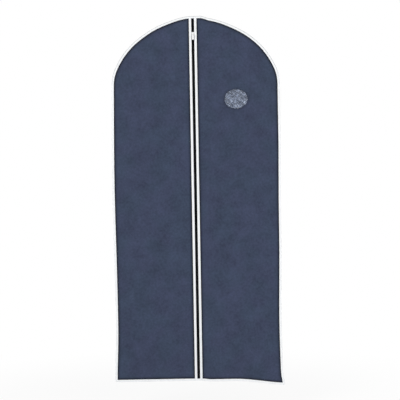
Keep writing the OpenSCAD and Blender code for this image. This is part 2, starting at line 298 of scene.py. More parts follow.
def editWith(piece, operator, **settings):
    # one edit-mode operator on the whole mesh
    useOnly(piece)
    bpy.ops.object.mode_set(mode="EDIT")
    bpy.ops.mesh.select_all(action="SELECT")
    operator(**settings)
    bpy.ops.object.mode_set(mode="OBJECT")


def softEdges(piece, degrees=meshing["smooth"]):
    useOnly(piece)
    bpy.ops.object.shade_smooth_by_angle(angle=math.radians(degrees))


def clothGrid(name, across, along, width, length, where):
    # a flat strip of cloth, moved point by point to where it hangs; its UVs span its size in metres
    bpy.ops.object.select_all(action="DESELECT")
    bpy.ops.mesh.primitive_grid_add(x_subdivisions=across, y_subdivisions=along, size=1)
    piece = bpy.context.object
    piece.name = piece.data.name = name
    flat = coordinates(piece)
    u, v = flat[:, 0] + 0.5, flat[:, 1] + 0.5
    corners = np.empty(len(piece.data.loops), dtype=np.int32)
    piece.data.loops.foreach_get("vertex_index", corners)
    uv = np.column_stack([u[corners] * width, v[corners] * length])
    piece.data.uv_layers.active.data.foreach_set("uv", uv.ravel())
    setCoordinates(piece, np.column_stack(where(u, v)))
    editWith(piece, bpy.ops.mesh.remove_doubles, threshold=meshing["merge"])
    return piece


def thicken(piece, thick):
    finishWith(piece, "SOLIDIFY", thickness=thick, offset=0)
    softEdges(piece)


# How far each point of a front panel comes forward when the zip is open: all the way at the
# middle of the zip edge, and not at all along the crown, the side and the hem, which stay sewn
opening = {"hinge": 0.292, "shutTop": 0.016, "shutHem": 0.044, "ease": 1.3, "least": 1e-6}


def flapShare(x, z):
    a = np.abs(x)
    side = np.sign(np.mean(x))
    flat = unsag(x, z)[1]
    edge = sag(side * sideReach(flat, cut["tapeWidth"]), flat)[0]
    edge = np.minimum(np.abs(edge), opening["hinge"])
    reach = (edge - a) / np.maximum(opening["hinge"] - a, opening["least"])
    reach = np.where(a < edge - opening["least"], reach, 0)
    along = (-flat - opening["shutTop"]) / (cut["height"] - opening["shutTop"] - opening["shutHem"])
    return np.clip(reach, 0, 1) * np.sin(math.pi * np.clip(along, 0, 1)) ** opening["ease"]


def hangOnFlap(piece, side):
    body = "left_front" if side < 0 else "right_front"
    side * opening["hinge"]
    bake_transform(piece)
    points = coordinates(piece)
    share = flapShare(points[:, 0], points[:, 2]).astype(np.float32)


# One class wraps a shader socket, so that shader maths reads as plain sums
class Wire:
    def __init__(self, tree, socket=None):
        self.tree, self.socket = tree, socket

    def add(self, kind, settings, sockets, out=0):
        node = self.tree.nodes.new(kind)
        for key, value in settings.items():
            setattr(node, key, value)
        for key, value in sockets.items():
            if isinstance(value, Wire):
                self.tree.links.new(value.socket, node.inputs[key])
            else:
                node.inputs[key].default_value = value
        return Wire(self.tree, node.outputs[out]) if len(node.outputs) else None

    def maths(self, kind, *values):
        return self.add("ShaderNodeMath", {"operation": kind}, dict(enumerate(values)))

    def __add__(self, other):
        return self.maths("ADD", self, other)

    def __sub__(self, other):
        return self.maths("SUBTRACT", self, other)

    def __rsub__(self, other):
        return self.maths("SUBTRACT", other, self)

    def __mul__(self, other):
        return self.maths("MULTIPLY", self, other)

    __radd__, __rmul__ = __add__, __mul__

    def band(self, low, high):
        # 0 below low, 1 above high, eased between
        sockets = {"Value": self, "From Min": low, "From Max": high}
        return self.add("ShaderNodeMapRange", {"interpolation_type": "SMOOTHSTEP"}, sockets)

    def position(self, kind):
        # Object for places in metres, UV for places on the cloth
        return self.add("ShaderNodeTexCoord", {}, {}, kind)

    def part(self, vector, axis):
        return self.add("ShaderNodeSeparateXYZ", {}, {0: vector}, axis)

    def painted(self, name):
        # the number that setValues gave each point
        return self.add("ShaderNodeAttribute", {"attribute_name": name}, {}, "Fac")

    def threads(self, along, pitch):
        # rows of threads, with their pitch in millimetres
        return self.maths("SINE", along * (2000 * math.pi / pitch))

    def noise(self, vector, scale, detail=2.0, swirl=0.0):
        sockets = {"Vector": vector, "Scale": scale, "Detail": detail, "Distortion": swirl}
        return self.add("ShaderNodeTexNoise", {}, sockets)

    def streaks(self, vector, size, turn, detail=2.0, swirl=0.0):
        # noise whose marks have a size along each axis, turned about Y
        sockets = {"Vector": vector, "Rotation": (0, math.radians(turn), 0), "Scale": size}
        turned = self.add("ShaderNodeMapping", {"vector_type": "TEXTURE"}, sockets)
        return self.noise(turned, 1.0, detail, swirl)

    def crease(self, noise, width):
        # thin lines where the noise passes its middle
        return 1.0 - self.maths("ABSOLUTE", noise - 0.5).band(0.0, width)

    def shade(self, colour, tone):
        return self.add("ShaderNodeVectorMath", {"operation": "SCALE"}, {0: colour, "Scale": tone})

    def mix(self, amount, first, second):
        node = {"data_type": "RGBA"}
        return self.add("ShaderNodeMix", node, {"Factor": amount, 6: first, 7: second}, 2)

    def bump(self, height, distance):
        return self.add("ShaderNodeBump", {}, {"Height": height, "Distance": distance, "Strength": 1.0})


def newMaterial(name):
    material = bpy.data.materials.new(name)
    material.use_nodes = True
    material.node_tree.nodes.clear()
    return material, Wire(material.node_tree)


def finishMaterial(wire, **sockets):
    # surface and output; the names of its sockets are written with _ for a space
    named = {key.replace("_", " "): value for key, value in sockets.items()}
    surface = wire.add("ShaderNodeBsdfPrincipled", {}, named)
    wire.add("ShaderNodeOutputMaterial", {}, {"Surface": surface})


# the last number sets how dark the painted shade beside the tapes gets
navyCloth = {
    "blue": (0.0439, 0.0555, 0.1025, 1), "green": (0.0412, 0.0573, 0.0998, 1), "hueScale": 12.5,
    "cloudScale": 19.0, "patchScale": 130.0, "grainScale": 900.0, "fibre": (0.0012, 0.0012, 0.0045),
    "fibreTurn": 35, "dotRate": 2350.0, "relief": 0.00018, "soilAndShade": 0.82,
}


def panelFabric():
    material, wire = newMaterial("Navy non-woven")
    here = wire.position("Object")
    x, z = wire.part(here, 0), wire.part(here, 2)
    clouds = wire.noise(here, navyCloth["cloudScale"], detail=1.5)
    patches = wire.noise(here, navyCloth["patchScale"], detail=3.0)
    fibres = wire.streaks(here, navyCloth["fibre"], navyCloth["fibreTurn"], detail=3.0)
    grain = wire.noise(here, navyCloth["grainScale"])
    rising = wire.maths("SINE", (x + z) * navyCloth["dotRate"])
    falling = wire.maths("SINE", (x - z) * navyCloth["dotRate"])
    dots = (rising * falling).band(low=0.25, high=0.7)
    tone = 0.12 + clouds * 0.54 + patches * 0.70 + fibres * 0.36 + grain * 0.20 - dots * 0.10
    # darker in a band of painted shade beside the tapes and round the window
    tone = tone * (1.0 - wire.painted("seamShade") * navyCloth["soilAndShade"])
    hue = wire.noise(here, navyCloth["hueScale"], detail=1.0).band(low=0.35, high=0.65)
    navy = wire.mix(hue, navyCloth["blue"], navyCloth["green"])
    relief = wire.bump(fibres * 0.5 + grain * 0.3 - dots * 0.9, navyCloth["relief"])
    finishMaterial(
        wire, Base_Color=wire.shade(navy, tone), Roughness=0.82 + grain * 0.12,
        Sheen_Weight=0.08, Sheen_Roughness=0.5, Specular_IOR_Level=0.25, Normal=relief,
    )
    return material


# the fourth number sets how grey the painted shade along the fold gets
whiteTape = {"colour": (0.932, 0.948, 0.966), "warp": 0.9, "weft": 0.7, "foldShade": 0.44, "relief": 0.00008}


def wovenTape():
    material, wire = newMaterial("White fold tape")
    here = wire.position("UV")
    warp = wire.threads(wire.part(here, 0), whiteTape["warp"])
    weft = wire.threads(wire.part(here, 1), whiteTape["weft"])
    weave = warp * weft * 0.5 + weft * 0.4
    soilAndShade = wire.noise(here, scale=60.0)
    # greyer along the fold over the crown and the shoulders, as painted shade
    foldShadeTone = 1.0 - wire.painted("paintedFoldShade") * whiteTape["foldShade"]
    tone = (0.975 + soilAndShade * 0.05 + weave * 0.012) * foldShadeTone
    finishMaterial(
        wire, Base_Color=wire.shade(whiteTape["colour"], tone), Roughness=0.72,
        Specular_IOR_Level=0.3, Normal=wire.bump(weave, whiteTape["relief"]),
    )
    return material


blackTape = {"colour": (0.0030, 0.0030, 0.0040), "lane": 0.0012, "twill": 0.8, "cord": 0.6, "relief": 0.0001}


def zipWeave():
    material, wire = newMaterial("Black zip tape")
    here = wire.position("Object")
    x, z = wire.part(here, 0), wire.part(here, 2)
    twill = wire.threads(z + wire.maths("PINGPONG", x, blackTape["lane"]), blackTape["twill"])
    cord = wire.threads(x, blackTape["cord"])
    lint = wire.noise(here, scale=800.0)
    tone = 0.85 + twill * 0.22 + lint * 0.3
    finishMaterial(
        wire, Base_Color=wire.shade(blackTape["colour"], tone), Roughness=0.8,
        Specular_IOR_Level=0.08, Normal=wire.bump(twill + cord * 0.4, blackTape["relief"]),
    )
    return material


def coilNylon():
    material, wire = newMaterial("Black nylon coil")
    wear = wire.noise(wire.position("Object"), scale=500.0)
    black = wire.shade((0.0024, 0.0024, 0.0032), 0.7 + wear * 0.6)
    finishMaterial(wire, Base_Color=black, Roughness=0.42 + wear * 0.15, Specular_IOR_Level=0.10)
    return material


clearPlastic = {
    "colour": (0.307, 0.364, 0.498), "rising": (0.034, 0.02, 0.0085), "risingTurn": 40,
    "falling": (0.030, 0.02, 0.0075), "fallingTurn": -48, "relief": 0.0006,
}


def clearFilm():
    material, wire = newMaterial("Clear film")
    here = wire.position("Object")
    rising = wire.streaks(here, clearPlastic["rising"], clearPlastic["risingTurn"], detail=1.5, swirl=0.8)
    falling = wire.streaks(here, clearPlastic["falling"], clearPlastic["fallingTurn"], detail=1.5, swirl=0.8)
    rising, falling = wire.crease(rising, width=0.10), wire.crease(falling, width=0.09)
    fine = wire.crease(wire.noise(here, scale=120.0, detail=1.0, swirl=0.6), width=0.05)
    cloudy = wire.noise(here, scale=45.0)
    haze = rising * 0.38 + falling * 0.32 + fine * 0.10 + cloudy * 0.44
    relief = wire.bump(rising + falling + fine * 0.5, clearPlastic["relief"])
    finishMaterial(
        wire, Base_Color=wire.shade(clearPlastic["colour"], 0.43 + haze), Roughness=0.16 + cloudy * 0.2,
        Alpha=0.16 + haze * 0.60, Coat_Weight=0.35, Normal=relief,
    )
    return material


def whiteEnamel():
    material, wire = newMaterial("White enamel")
    peel = wire.noise(wire.position("Object"), scale=900.0)
    white = wire.shade((0.925, 0.928, 0.935), 0.97 + peel * 0.05)
    relief = wire.bump(peel, distance=0.00005)
    finishMaterial(wire, Base_Color=white, Roughness=0.22, Coat_Weight=0.5, Normal=relief)
    return material


def stopEnamel():
    material, wire = newMaterial("Black enamel")
    wear = wire.noise(wire.position("Object"), scale=700.0)
    finishMaterial(
        wire, Base_Color=wire.shade((0.0040, 0.0040, 0.0050), 0.7 + wear * 0.6),
        Roughness=0.36 + wear * 0.18, Specular_IOR_Level=0.12, Normal=wire.bump(wear, distance=0.00004),
    )
    return material


def sewingThread(name, colour):
    material, wire = newMaterial(name)
    fuzz = wire.noise(wire.position("Object"), scale=1500.0)
    finishMaterial(wire, Base_Color=wire.shade(colour, 0.8 + fuzz * 0.4), Roughness=0.6)
    return material


finishes = {
    "panel_fabric": panelFabric(), "fold_tape": wovenTape(), "zip_tape": zipWeave(), "zip_coil": coilNylon(),
    "window_film": clearFilm(), "slider_enamel": whiteEnamel(), "zip_stop": stopEnamel(),
    "white_thread": sewingThread("White thread", (0.86, 0.86, 0.88)),
    "navy_thread": sewingThread("Navy thread", (0.055, 0.068, 0.118)),
}
print("bag: materials made")


def dress(piece, slot):
    piece.data.materials.clear()
    piece.data.materials.append(finishes[slot])
    not slot.endswith("thread")


# Panels
panelGrid = {
    "across": 62, "along": 190, "backAcross": 120, "slack": 0.0025, "rowCrowding": 0.7,
    "zipColumns": 12, "zipClear": 0.0005, "zipReach": 0.0275, "zipStep": 0.004,
    "hookColumns": 16, "hookReach": 0.030, "hookStep": 0.003,
}
# The window: hung is where its middle hangs, and x and z are that place on the flat cut
window = {
    "hung": (0.151, -0.300), "wide": 0.0412, "high": 0.0348, "film": 0.0455, "edges": 96, "punch": 0.04,
}
window["x"], window["z"] = (float(v) for v in unsag(*(np.array(c) for c in window["hung"])))
# width, depth under the tape and ring of the band of painted shade beside the tapes and round the window
seamShadeBand = {"width": 0.0066, "under": 0.004, "ring": 0.45, "ringReach": 1.2, "ringWidth": 0.12}


def panelHeight(x, v):
    # rows lie closer near the hem and the crown
    row = v - panelGrid["rowCrowding"] * wave(v) / (2 * math.pi)
    hem, top = panelGrid["slack"] - cut["height"], crownHeight(x, panelGrid["slack"])
    return hem * (1 - row) + top * row


def archStations(first, count):
    # distances from the zip, spaced evenly along the arch of a panel
    big, small = cut["crown"] - panelGrid["slack"], cut["shoulder"] - panelGrid["slack"]
    crownRun = big * joinAngle
    run = crownRun + small * (math.pi / 2 - joinAngle)
    s = np.linspace(big * math.asin(first / big), run, count)
    onShoulder = shoulderX + small * np.sin(joinAngle + (s - crownRun) / small)
    return np.where(s < crownRun, big * np.sin(s / big), onShoulder)


def shadeSeams(piece, isFront):
    # a narrow band of painted shade beside every tape, and round the window
    points = coordinates(piece)
    x, z = unsag(points[:, 0], points[:, 2])
    gap, fromZip = tapeGaps(x, z)
    if isFront:
        gap = np.minimum(gap, fromZip)
    shade = bell(np.maximum(gap, 0), 0, seamShadeBand["width"]) * (gap > -seamShadeBand["under"])
    if isFront:
        ring = np.hypot((x - window["x"]) / window["wide"], (z - window["z"]) / window["high"]) - 1
        ring = smooth(seamShadeBand["ringReach"] - np.abs(ring) / seamShadeBand["ringWidth"])
        shade = np.maximum(shade, seamShadeBand["ring"] * ring)
    setValues(piece, "seamShade", shade)


def frontPanel(name, side):
    # closer columns beside the zip
    first, last = cut["zipEdge"] + panelGrid["zipClear"], panelGrid["zipReach"]
    count = panelGrid["zipColumns"]
    rest = archStations(last + panelGrid["zipStep"], panelGrid["across"] + 1 - count)
    stations = np.concatenate([np.linspace(first, last, count), rest])

    def where(u, v):
        column = np.rint((u if side > 0 else 1 - u) * panelGrid["across"]).astype(int)
        x = side * stations[column]
        z = panelHeight(x, v)
        return place(x, frontDepth(x, z) + cut["panelThick"] / 2, z)

    piece = clothGrid(name, panelGrid["across"], panelGrid["along"], cut["halfWidth"], cut["height"], where)
    thicken(piece, cut["panelThick"])
    return piece


def backPanel():
    # closer columns behind the hook opening
    last, count = panelGrid["hookReach"], panelGrid["hookColumns"]
    rest = archStations(last + panelGrid["hookStep"], panelGrid["backAcross"] // 2 + 1 - count)
    half = np.concatenate([np.linspace(0, last, count), rest])
    stations = np.concatenate([-half[:0:-1], half])

    def where(u, v):
        x = stations[np.rint(u * panelGrid["backAcross"]).astype(int)]
        z = panelHeight(x, v)
        return place(x, backDepth(x, z) - cut["panelThick"] / 2, z + backLift(x, z))

    size = (2 * cut["halfWidth"], cut["height"])
    piece = clothGrid("backPanel", panelGrid["backAcross"], panelGrid["along"], *size, where)
    editWith(piece, bpy.ops.mesh.flip_normals)
    thicken(piece, cut["panelThick"])
    return piece


def cutWindow(panel):
    # the hole that the film closes
    bpy.ops.object.select_all(action="DESELECT")
    bpy.ops.mesh.primitive_cylinder_add(
        vertices=window["edges"], radius=1, depth=window["punch"], rotation=(math.pi / 2, 0, 0),
    )
    punch = bpy.context.object
    punch.scale = (window["wide"], window["high"], 1)
    punch.location = (window["hung"][0], cut["seamY"], window["hung"][1])
    bpy.ops.object.transform_apply(location=True, rotation=True, scale=True)
    finishWith(panel, "BOOLEAN", operation="DIFFERENCE", solver="EXACT", object=punch)
    bpy.data.objects.remove(punch)
    finishWith(panel, "TRIANGULATE", ngon_method="BEAUTY", min_vertices=5)
    softEdges(panel)


frontLeft, frontRight = frontPanel("frontLeft", -1), frontPanel("frontRight", 1)
cutWindow(frontRight)
back = backPanel()
for piece in (frontLeft, frontRight, back):
    shadeSeams(piece, piece is not back)
    dress(piece, "panel_fabric")
for piece, side, node in ((frontLeft, -1, "front_panel_left"), (frontRight, 1, "front_panel_right")):
    hangOnFlap(piece, side)
    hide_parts(node)
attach(back, "bag")
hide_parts("back_panel")
print("bag: panels hung")

# Tapes: strips folded lengthwise over the edges they bind
# the last two numbers set the width of the painted shade along the fold and how far above the shoulders it
# fades in
tapeGrid = {
    "step": 0.006, "cornerSteps": 7, "leg": (0.0080, 0.0077, 0.0062, 0.0045, 0.0030, 0.0018),
    "edgeFold": (0.0006, 0.0011), "edgingFold": (0.0003, 0.0008), "foldSteps": 7, "foldInset": 0.0003,
    "legDepth": 0.0008, "lapInset": 0.0008, "lapDepth": 0.0002, "flatWidths": 2.1, "hookClear": 0.0005,
    "zipRise": 0.0009, "zipReach": 0.021, "zipEase": 0.006, "foldShadeWidth": 0.0033, "foldShadeRise": 0.06,
}


def binding(reach, fold):
    # cross-section of a folded tape, front leg to back leg, as insets and depths; fold holds the
    # inner and the outer radius of its turn
    radius = sum(fold) / 2
    turn = np.linspace(0, math.pi, tapeGrid["foldSteps"])
    legs = np.array(tapeGrid["leg"]) * reach / tapeGrid["leg"][0]
    flat = np.full(len(legs), radius)
    inset = np.concatenate([legs, tapeGrid["foldInset"] + radius * (1 - np.sin(turn)), legs[::-1]])
    return inset, np.concatenate([flat, radius * np.cos(turn), -flat])


def arcRow(cx, cz, radius, angle, corner):
    # a point of an arc, its outward normal and its corner mark
    nx, nz = math.sin(angle), math.cos(angle)
    return cx + radius * nx, cz + radius * nz, nx, nz, corner


def outlinePath(first, last):
    # points, normals and corner marks clockwise from the right end of the hook opening to its left end
    rows = []
    step = tapeGrid["step"]

    def arc(cx, cz, radius, a0, a1, corner, count):
        for angle in np.linspace(a0, a1, count, endpoint=False):
            rows.append(arcRow(cx, cz, radius, angle, corner))

    def line(p, q, n):
        count = max(2, round(math.dist(p, q) / step))
        for t in np.linspace(0, 1, count, endpoint=False):
            rows.append((p[0] + (q[0] - p[0]) * t, p[1] + (q[1] - p[1]) * t, n[0], n[1], 0))

    half, high, r = cut["halfWidth"], cut["height"], cut["hemCorner"]
    crownCount = round(cut["crown"] * (joinAngle - first) / step)
    shoulderCount = round(cut["shoulder"] * (math.pi / 2 - joinAngle) / step)
    arc(0, -cut["crown"], cut["crown"], first, joinAngle, 0, crownCount)
    arc(shoulderX, shoulderZ, cut["shoulder"], joinAngle, math.pi / 2, 0, shoulderCount)
    line((half, shoulderZ), (half, r - high), (1, 0))
    arc(half - r, r - high, r, math.pi / 2, math.pi, 1, tapeGrid["cornerSteps"])
    line((half - r, -high), (r - half, -high), (0, -1))
    arc(r - half, r - high, r, math.pi, 1.5 * math.pi, -1, tapeGrid["cornerSteps"])
    line((-half, r - high), (-half, shoulderZ), (-1, 0))
    arc(-shoulderX, shoulderZ, cut["shoulder"], 1.5 * math.pi, 2 * math.pi - joinAngle, 0, shoulderCount)
    arc(0, -cut["crown"], cut["crown"], 2 * math.pi - joinAngle, last, 0, crownCount)
    rows.append(arcRow(0, -cut["crown"], cut["crown"], last, 0))
    return np.array(rows)


def insetOn(path, row, inset):
    # the point at an inset from a row of the path; further in than a hem corner's radius it follows the mitre
    x, z, nx, nz, corner = path[row].T
    along = np.where(corner != 0, np.minimum(inset, cut["hemCorner"]), inset)
    over = np.where(corner != 0, np.maximum(inset - cut["hemCorner"], 0), 0)
    return x - along * nx - over * corner, z - along * nz + over


def pathLength(path):
    return float(np.sum(np.hypot(np.diff(path[:, 0]), np.diff(path[:, 1]))))


def foldedTape(name, path, section, depthAt, wrapsTo=math.inf):
    across, along = len(section[0]) - 1, len(path) - 1

    def where(u, v):
        column = np.rint(u * across).astype(int)
        row = np.rint(v * along).astype(int)
        inset, depth = section[0][column], section[1][column]
        # past wrapsTo only the front leg and the fold lie on what the tape covers
        past = (np.abs(path[row, 0]) > wrapsTo) & (depth < 0)
        inset = np.where(past, np.minimum(inset, tapeGrid["lapInset"]), inset)
        depth = np.where(past, np.maximum(depth, -tapeGrid["lapDepth"]), depth)
        x, z = insetOn(path, row, inset)
        return place(x, depthAt(x, z, depth), z)

    width = tapeGrid["flatWidths"] * cut["tapeWidth"]
    piece = clothGrid(name, across, along, width, pathLength(path), where)
    thicken(piece, cut["tapeThick"])
    return piece


def shadeFold(piece):
    # painted shade on the fold where the tape runs over the crown and the shoulders
    points = coordinates(piece)
    x, z = unsag(points[:, 0], points[:, 2])
    foldShade = smooth(1 - seamDistance(x, z) / tapeGrid["foldShadeWidth"])
    setValues(piece, "paintedFoldShade", foldShade * ramp(z, shoulderZ, tapeGrid["foldShadeRise"]))


def legSide(depth):
    # 1 on the front leg of a tape, -1 on its back leg, and between them round the fold
    return np.sign(depth) * np.minimum(np.abs(depth) / tapeGrid["legDepth"], 1)


def edgeDepth(x, z, depth):
    # the tape rides over the ends of the zip at the hem
    rise = tapeGrid["zipRise"] * ramp(-np.abs(x), -tapeGrid["zipReach"], tapeGrid["zipEase"])
    return depth + legSide(depth) * np.where(z < shoulderZ, rise, 0)


edgeSection = binding(cut["tapeWidth"], tapeGrid["edgeFold"])
hookEnd = math.asin((cut["hookReach"] + tapeGrid["hookClear"]) / cut["crown"])
edgePath = outlinePath(hookEnd, 2 * math.pi - hookEnd)
edgeTape = foldedTape("edgeTape", edgePath, edgeSection, edgeDepth)
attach(edgeTape, "bag")
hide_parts("edge_tape")

# Tapes of the hook opening; their reaches, and those of their seams, are shares of the opening's own
hookTape = {
    "frontReach": 1.16, "frontSeam": 1.14, "frontSteps": 61,
    "backReach": 0.99, "backSeam": 0.97, "backSteps": 53,
    "zipReach": 0.0190, "zipEase": 0.003, "edgeReach": 0.0235, "edgeEase": 0.002,
    "clear": 0.0001, "rise": 0.00055, "tuck": 0.00052, "zipBehind": 0.0005,
}


def crownPath(reach, count):
    # a stretch of the crown's edge, centred on the zip
    angles = np.linspace(-reach, reach, count)
    return np.array([arcRow(0, -cut["crown"], cut["crown"], angle, 0) for angle in angles])


def hookFrontDepth(x, z, depth):
    # over the zip's ends in the middle, close on the panels beside them, over the edge tape at the ends
    a, side = np.abs(x), legSide(depth)
    overZip = ramp(-a, -hookTape["zipReach"], hookTape["zipEase"])
    overEdge = ramp(a, hookTape["edgeReach"], hookTape["edgeEase"])
    ahead = hookTape["clear"] + hookTape["rise"] * np.maximum(overZip, overEdge)
    behind = hookTape["tuck"] * (1 - overZip) - hookTape["zipBehind"] * overZip
    return depth + np.abs(side) * np.where(side > 0, ahead, behind)


def hookBackDepth(x, z, depth):
    return backDepth(x, z) - cut["panelThick"] / 2 + depth


frontPath = crownPath(hookEnd * hookTape["frontReach"], hookTape["frontSteps"])
backPath = crownPath(hookEnd * hookTape["backReach"], hookTape["backSteps"])
hookFront = foldedTape("hookTapeFront", frontPath, edgeSection, hookFrontDepth, hookTape["edgeReach"])
hookBack = foldedTape("hookTapeBack", backPath, edgeSection, hookBackDepth)
points = coordinates(hookBack)
points[:, 2] += backLift(points[:, 0], points[:, 2])
setCoordinates(hookBack, points)
for piece, node in ((hookFront, "hook_tape_front"), (hookBack, "hook_tape_back")):
    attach(piece, "bag")
    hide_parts(node)
for piece in (edgeTape, hookFront, hookBack):
    shadeFold(piece)
    dress(piece, "fold_tape")

# Zip: two edgings, two woven tapes, two coils
zipStrips = {
    "rows": 217, "edgingFlat": 0.018, "weaveFlat": 0.015, "weaveOuter": 0.0162, "weaveInner": 0.0012,
    "weaveColumns": 9, "weaveDepth": -0.0008, "weaveThick": 0.0006,
}
zipRun = np.linspace(-cut["zipEnd"], cut["zipEnd"] - cut["height"], zipStrips["rows"])


def uprightStrip(name, side, section, thick, width):
    across, along = len(section[0]) - 1, len(zipRun) - 1

    def where(u, v):
        column = np.rint((u if side < 0 else 1 - u) * across).astype(int)
        z = zipRun[np.rint((1 - v) * along).astype(int)]
        return place(side * section[0][column], section[1][column], z)

    piece = clothGrid(name, across, along, width, cut["height"] - 2 * cut["zipEnd"], where)
    thicken(piece, thick)
    return piece


edgingInset, edgingDepth = binding(cut["edgingWidth"], tapeGrid["edgingFold"])
edgingSection = (edgingInset + cut["zipEdge"], edgingDepth + cut["panelThick"] / 2)
weaveSection = (
    np.linspace(zipStrips["weaveOuter"], zipStrips["weaveInner"], zipStrips["weaveColumns"]),
    np.full(zipStrips["weaveColumns"], zipStrips["weaveDepth"]),
)
for side, label in sides:
    edgingSize = (cut["tapeThick"], zipStrips["edgingFlat"])
    weaveSize = (zipStrips["weaveThick"], zipStrips["weaveFlat"])
    edging = uprightStrip("zipEdging" + label, side, edgingSection, *edgingSize)
    weave = uprightStrip("zipTape" + label, side, weaveSection, *weaveSize)
    dress(edging, "fold_tape")
    dress(weave, "zip_tape")
    for piece, node in ((edging, "zip_edging_"), (weave, "zip_tape_")):
        hangOnFlap(piece, side)
        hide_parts(node + label.lower())
    frontLeft if side < 0 else frontRight
print("bag: tapes folded")

# One turn of a coil runs from the tape, over the cord, round the head and back underneath. Its points
# are distances across and forward, in millimetres
coil = {
    "pitch": 0.0016, "wire": 0.00036, "top": -0.0560, "end": -1.2845, "smooth": 60,
    "wedgeEnd": -0.0705, "wedgeRun": 0.008, "part": 0.00145,
    "turn": (
        (2.00, -0.10), (2.12, 0.9), (1.6, 1.50), (0.4, 1.55),
        (-0.25, 1.30), (-0.30, 0.5), (0.2, 0.0), (1.1, -0.05),
    ),
}
millimetre = 0.001


def coilShift(z):
    # the halves part as they run up into the slider
    return coil["part"] * ramp(z, coil["wedgeEnd"], coil["wedgeRun"])


def coilHalf(name, side):
    bpy.ops.object.select_all(action="DESELECT")
    bpy.ops.curve.primitive_nurbs_path_add()
    tooth = bpy.context.object
    tooth.name = name
    turn = tooth.data
    turn.splines.clear()
    spline = turn.splines.new("NURBS")
    spline.points.add(len(coil["turn"]) - 1)
    # the halves lie half a pitch apart
    z0 = coil["top"] - coil["pitch"] * (0.5 if side < 0 else 1.0)
    for point, (across, depth) in zip(spline.points, coil["turn"]):
        point.co = (side * across * millimetre, cut["seamY"] - depth * millimetre, z0, 1)
    spline.order_u = 3
    spline.use_endpoint_u = True
    turn.resolution_u = 1
    turn.bevel_depth = coil["wire"]
    turn.bevel_resolution = 1
    turn.use_fill_caps = True
    bpy.ops.object.convert(target="MESH")
    half = bpy.context.object
    count = int((coil["top"] - coil["end"]) / coil["pitch"]) - 1
    finishWith(
        half, "ARRAY", count=count, use_relative_offset=False, use_constant_offset=True,
        constant_offset_displace=(0, 0, -coil["pitch"]),
    )
    points = coordinates(half)
    points[:, 0] += side * coilShift(points[:, 2])
    setCoordinates(half, points)
    softEdges(half, coil["smooth"])
    return half


for side, label in sides:
    half = coilHalf("zipCoil" + label, side)
    dress(half, "zip_coil")
    hangOnFlap(half, side)
    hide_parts("zip_coil_" + label.lower())
print("bag: coils wound")

# Hard pieces: the solids' own shapes with their edges rounded. Lengths in metres, angles in degrees
rounding = {
    "slider_body": 0.00028, "pull_tab": 0.00035, "top_stop_left": 0.00022, "top_stop_right": 0.00022,
    "bottom_stop": 0.00022, "merge": 0.000004, "flat": 2, "sharp": 40, "segments": 3, "smooth": 50,
}


def roundedCopy(node, name):
    piece = bpy.data.objects.new(name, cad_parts[node].data.copy())
    scene.collection.objects.link(piece)
    editWith(piece, bpy.ops.mesh.remove_doubles, threshold=rounding["merge"])
    editWith(piece, bpy.ops.mesh.dissolve_limited, angle_limit=math.radians(rounding["flat"]))
    finishWith(
        piece, "BEVEL", width=rounding[node], segments=rounding["segments"], limit_method="ANGLE",
        angle_limit=math.radians(rounding["sharp"]), use_clamp_overlap=True,
    )
    softEdges(piece, rounding["smooth"])
    return piece


for node, name, slot, side in (
    ("slider_body", "slider", "slider_enamel", 0), ("pull_tab", "pullTab", "slider_enamel", 0),
    ("top_stop_left", "topStopLeft", "zip_stop", -1), ("top_stop_right", "topStopRight", "zip_stop", 1),
    ("bottom_stop", "bottomStop", "zip_stop", 0),
):
    piece = roundedCopy(node, name)
    dress(piece, slot)
    if side:
        hangOnFlap(piece, side)
    else:
        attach(piece, {"slider": "slider", "pullTab": "pull"}.get(name, "bag"))
    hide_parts(node)
print("bag: slider, pull and stops rounded")

# Window film, a little slack in its ring of stitches
filmGrid = {
    "rings": 20, "spokes": 96, "thick": 0.0003, "behind": 0.0003, "slack": 0.0013, "slackFrom": 0.35,
    "crumple": 0.0004, "risingPitch": 0.024, "risingTwist": 60, "fallingPitch": 0.017, "fallingShift": 1,
}


def filmDisc():
    def where(u, v):
        across = window["film"] * (1 - u) * np.cos(2 * math.pi * v)
        up = window["film"] * (1 - u) * np.sin(2 * math.pi * v)
        x, z = window["x"] + across, window["z"] + up
        crumple = wave((across + up) / filmGrid["risingPitch"], filmGrid["risingTwist"] * up)
        crumple = crumple + wave((across - up) / filmGrid["fallingPitch"], filmGrid["fallingShift"])
        slack = ramp(u, 0, filmGrid["slackFrom"]) * (filmGrid["slack"] + filmGrid["crumple"] * crumple)
        return place(x, frontDepth(x, z) - filmGrid["behind"] - slack, z)

    size = (window["film"], 2 * math.pi * window["film"])
    piece = clothGrid("windowFilm", filmGrid["rings"], filmGrid["spokes"], *size, where)
    editWith(piece, bpy.ops.mesh.normals_make_consistent, inside=False)
    thicken(piece, filmGrid["thick"])
    return piece


film = filmDisc()
dress(film, "window_film")
hangOnFlap(film, 1)
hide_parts("window_film")

# Stitches: one short bead of thread, repeated along a line. Inset, zipLine and ring say how far in
# from an edge, out from the zip and out from the window the lines lie
stitch = {
    "pitch": 0.0034, "length": 0.0026, "thick": 0.00042, "flatness": 1.2, "apart": 4, "segments": 6,
    "rings": 4, "smooth": 80, "look": 0.0005, "least": 1e-9,
    "inset": 0.0064, "zipLine": 0.0117, "zipEnd": 0.012, "ring": 0.003,
}


